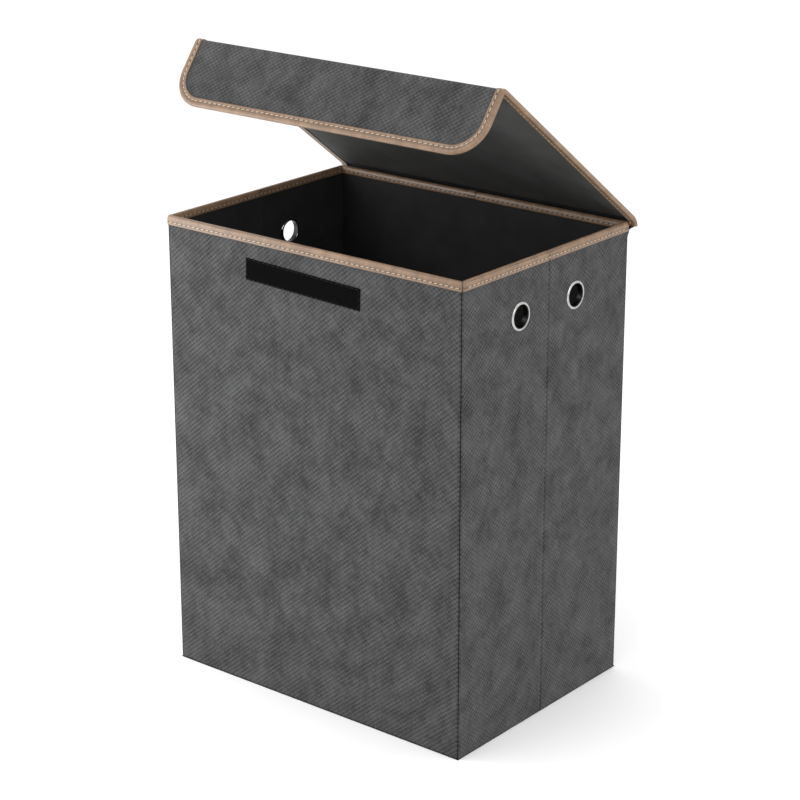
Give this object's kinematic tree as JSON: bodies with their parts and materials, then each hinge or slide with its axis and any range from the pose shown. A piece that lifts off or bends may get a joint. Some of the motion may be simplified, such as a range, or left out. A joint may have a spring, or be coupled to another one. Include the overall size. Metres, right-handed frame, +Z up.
{
  "type": "laundry hamper with lid",
  "caption": "Rectangular folding laundry hamper with rigid fabric-covered walls, a fabric-hinged lid with a front flap, metal grommets in the sides and a hook-and-loop closure.",
  "frame": {"origin": "centre of the underside, on the surface it stands on", "axes": "+X to the hamper's left as it faces forwards (viewer's right), -Y to the front, +Z up"},
  "size_m": [0.41, 0.2976, 0.7044],
  "materials": {
    "outer_fabric": "matte",
    "board": "matte",
    "lining": "matte",
    "binding": "satin",
    "grommet": "polished",
    "fastener": "matte"
  },
  "bodies": {
    "back_wall": {"back_outer_fabric": "outer_fabric", "back_board": "board", "back_lining": "lining", "back_rim_binding": "binding", "bottom_cloth": "lining", "lid_hinge_strip": "outer_fabric"},
    "left_rear": {"left_rear_outer_fabric": "outer_fabric", "left_rear_board": "board", "left_rear_lining": "lining", "left_rear_rim_binding": "binding", "left_rear_grommet": "grommet", "left_rear_washer": "grommet"},
    "left_front": {"left_front_outer_fabric": "outer_fabric", "left_front_board": "board", "left_front_lining": "lining", "left_front_rim_binding": "binding", "left_front_grommet": "grommet", "left_front_washer": "grommet"},
    "right_rear": {"right_rear_outer_fabric": "outer_fabric", "right_rear_board": "board", "right_rear_lining": "lining", "right_rear_rim_binding": "binding", "right_rear_grommet": "grommet", "right_rear_washer": "grommet"},
    "right_front": {"right_front_outer_fabric": "outer_fabric", "right_front_board": "board", "right_front_lining": "lining", "right_front_rim_binding": "binding", "right_front_grommet": "grommet", "right_front_washer": "grommet"},
    "front_wall": {"front_outer_fabric": "outer_fabric", "front_board": "board", "front_lining": "lining", "front_rim_binding": "binding", "front_hook_strip": "fastener"},
    "base_rear": {"base_rear_board": "board", "base_rear_lining": "lining"},
    "base_front": {"base_front_board": "board", "base_front_lining": "lining"},
    "lid": {"lid_board": "board", "lid_outer_fabric": "outer_fabric", "lid_lining": "lining", "lid_left_binding": "binding", "lid_right_binding": "binding"},
    "flap": {"flap_board": "board", "flap_outer_fabric": "outer_fabric", "flap_lining": "lining", "flap_binding": "binding", "flap_loop_strip": "fastener"}
  },
  "joints": [
    {"name": "fold", "type": "hinge", "parent": "back_wall", "child": "right_rear", "pos_m": [0.1948, 0.138, 0.3], "axis": [0, 0, -1], "range_deg": [0, 86], "deforming": ["bottom_cloth"]},
    {"name": "right_crease", "type": "hinge", "parent": "right_rear", "child": "right_front", "pos_m": [0.2012, 0, 0.3], "axis": [0, 0, 1], "range_deg": [0, 172]},
    {"name": "left_rear_corner", "type": "hinge", "parent": "back_wall", "child": "left_rear", "pos_m": [-0.1948, 0.138, 0.3], "axis": [0, 0, 1], "range_deg": [0, 86]},
    {"name": "left_crease", "type": "hinge", "parent": "left_rear", "child": "left_front", "pos_m": [-0.2012, 0, 0.3], "axis": [0, 0, -1], "range_deg": [0, 172]},
    {"name": "left_front_corner", "type": "hinge", "parent": "left_front", "child": "front_wall", "pos_m": [-0.1948, -0.138, 0.3], "axis": [0, 0, 1], "range_deg": [0, 86]},
    {"name": "base_rear_crease", "type": "hinge", "parent": "back_wall", "child": "base_rear", "pos_m": [0, 0.141, 0.0042], "axis": [-1, 0, 0], "range_deg": [0, 86]},
    {"name": "base_front_crease", "type": "hinge", "parent": "front_wall", "child": "base_front", "pos_m": [0, -0.141, 0.0042], "axis": [1, 0, 0], "range_deg": [0, 86]},
    {"name": "lid_hinge", "type": "hinge", "parent": "back_wall", "child": "lid", "pos_m": [0, 0.147, 0.519], "axis": [-1, 0, 0], "range_deg": [-37, 175], "deforming": ["lid_hinge_strip"]},
    {"name": "flap_crease", "type": "hinge", "parent": "lid", "child": "flap", "pos_m": [0, -0.08602, 0.70311], "axis": [-1, 0, 0], "range_deg": [0, 90]}
  ],
  "couplings": [
    {"joint": "right_crease", "follows": "fold", "ratio": 2},
    {"joint": "left_rear_corner", "follows": "fold", "ratio": 1},
    {"joint": "left_crease", "follows": "fold", "ratio": 2},
    {"joint": "left_front_corner", "follows": "fold", "ratio": 1},
    {"joint": "base_rear_crease", "follows": "fold", "ratio": 1},
    {"joint": "base_front_crease", "follows": "fold", "ratio": 1}
  ]
}
